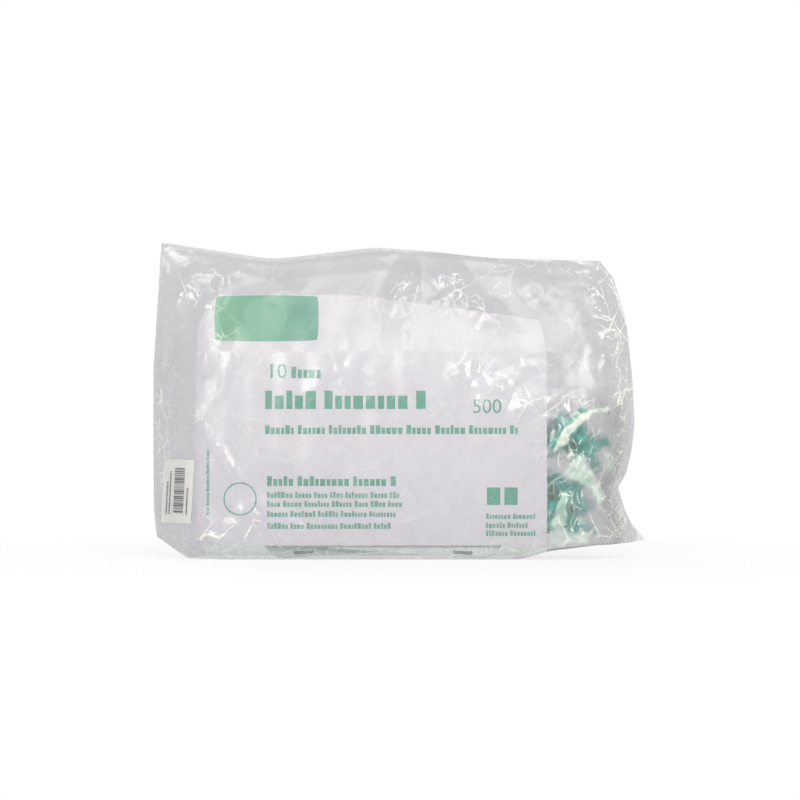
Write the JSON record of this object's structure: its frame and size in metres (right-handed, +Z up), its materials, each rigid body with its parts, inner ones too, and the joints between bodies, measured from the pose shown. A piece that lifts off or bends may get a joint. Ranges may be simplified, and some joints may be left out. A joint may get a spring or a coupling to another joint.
{
  "type": "pack of urine leg bags",
  "caption": "Clear film pack of flat urine drainage leg bags with green outlet taps, a paper insert behind the front film and a sticker on the left side, standing on its bottom edge.",
  "frame": {"origin": "middle of the pack's footprint, on the surface it stands on", "axes": "+X along the pack to the right as seen from the front, the front faces -Y, +Z up"},
  "size_m": [0.2999, 0.0604, 0.192],
  "materials": {
    "pack_film": "clear crinkled polythene film",
    "paper": "uncoated white paper with pale green print",
    "label": "white coated paper sticker with black bars",
    "bag_film": "soft translucent film with a white fleece back",
    "connector": "translucent moulded plastic",
    "cap": "milky moulded plastic",
    "tap_green": "moulded teal green plastic",
    "slide_green": "moulded teal green plastic"
  },
  "bodies": {
    "pack": {"outer_bag": "pack_film", "insert_sheet": "paper", "barcode_label": "label", "leg_bag_01": "bag_film", "leg_bag_02": "bag_film", "leg_bag_03": "bag_film", "leg_bag_04": "bag_film", "leg_bag_05": "bag_film", "leg_bag_06": "bag_film", "leg_bag_07": "bag_film", "leg_bag_08": "bag_film", "leg_bag_09": "bag_film", "leg_bag_10": "bag_film", "inlet_connector_01": "connector", "inlet_connector_02": "connector", "inlet_connector_03": "connector", "inlet_connector_04": "connector", "inlet_connector_05": "connector", "inlet_connector_06": "connector", "inlet_connector_07": "connector", "inlet_connector_08": "connector", "inlet_connector_09": "connector", "inlet_connector_10": "connector", "connector_cap_01": "cap", "connector_cap_02": "cap", "connector_cap_03": "cap", "connector_cap_04": "cap", "connector_cap_05": "cap", "connector_cap_06": "cap", "connector_cap_07": "cap", "connector_cap_08": "cap", "connector_cap_09": "cap", "connector_cap_10": "cap", "tap_body_01": "tap_green", "tap_body_02": "tap_green", "tap_body_03": "tap_green", "tap_body_04": "tap_green", "tap_body_05": "tap_green", "tap_body_06": "tap_green", "tap_body_07": "tap_green", "tap_body_08": "tap_green", "tap_body_09": "tap_green", "tap_body_10": "tap_green"},
    "slide_01": {"tap_slide_01": "slide_green"},
    "slide_02": {"tap_slide_02": "slide_green"},
    "slide_03": {"tap_slide_03": "slide_green"},
    "slide_04": {"tap_slide_04": "slide_green"},
    "slide_05": {"tap_slide_05": "slide_green"},
    "slide_06": {"tap_slide_06": "slide_green"},
    "slide_07": {"tap_slide_07": "slide_green"},
    "slide_08": {"tap_slide_08": "slide_green"},
    "slide_09": {"tap_slide_09": "slide_green"},
    "slide_10": {"tap_slide_10": "slide_green"}
  },
  "joints": [
    {"name": "tap_01_open", "type": "slide", "parent": "pack", "child": "slide_01", "axis": [0.9781, 0, 0.2079], "range_m": [0, 0.0045]},
    {"name": "tap_02_open", "type": "slide", "parent": "pack", "child": "slide_02", "axis": [-0.7193, 0, 0.6947], "range_m": [0, 0.0045]},
    {"name": "tap_03_open", "type": "slide", "parent": "pack", "child": "slide_03", "axis": [-0.6691, 0, -0.7431], "range_m": [0, 0.0045]},
    {"name": "tap_04_open", "type": "slide", "parent": "pack", "child": "slide_04", "axis": [-0.9272, 0, -0.3746], "range_m": [0, 0.0045]},
    {"name": "tap_05_open", "type": "slide", "parent": "pack", "child": "slide_05", "axis": [-0.4226, 0, -0.9063], "range_m": [0, 0.0045]},
    {"name": "tap_06_open", "type": "slide", "parent": "pack", "child": "slide_06", "axis": [-0.0349, 0, 0.9994], "range_m": [0, 0.0045]},
    {"name": "tap_07_open", "type": "slide", "parent": "pack", "child": "slide_07", "axis": [0.4226, 0, 0.9063], "range_m": [0, 0.0045]},
    {"name": "tap_08_open", "type": "slide", "parent": "pack", "child": "slide_08", "axis": [-0.1392, 0, -0.9903], "range_m": [0, 0.0045]},
    {"name": "tap_09_open", "type": "slide", "parent": "pack", "child": "slide_09", "axis": [0.866, 0, 0.5], "range_m": [0, 0.0045]},
    {"name": "tap_10_open", "type": "slide", "parent": "pack", "child": "slide_10", "axis": [-0.1736, 0, -0.9848], "range_m": [0, 0.0045]}
  ]
}
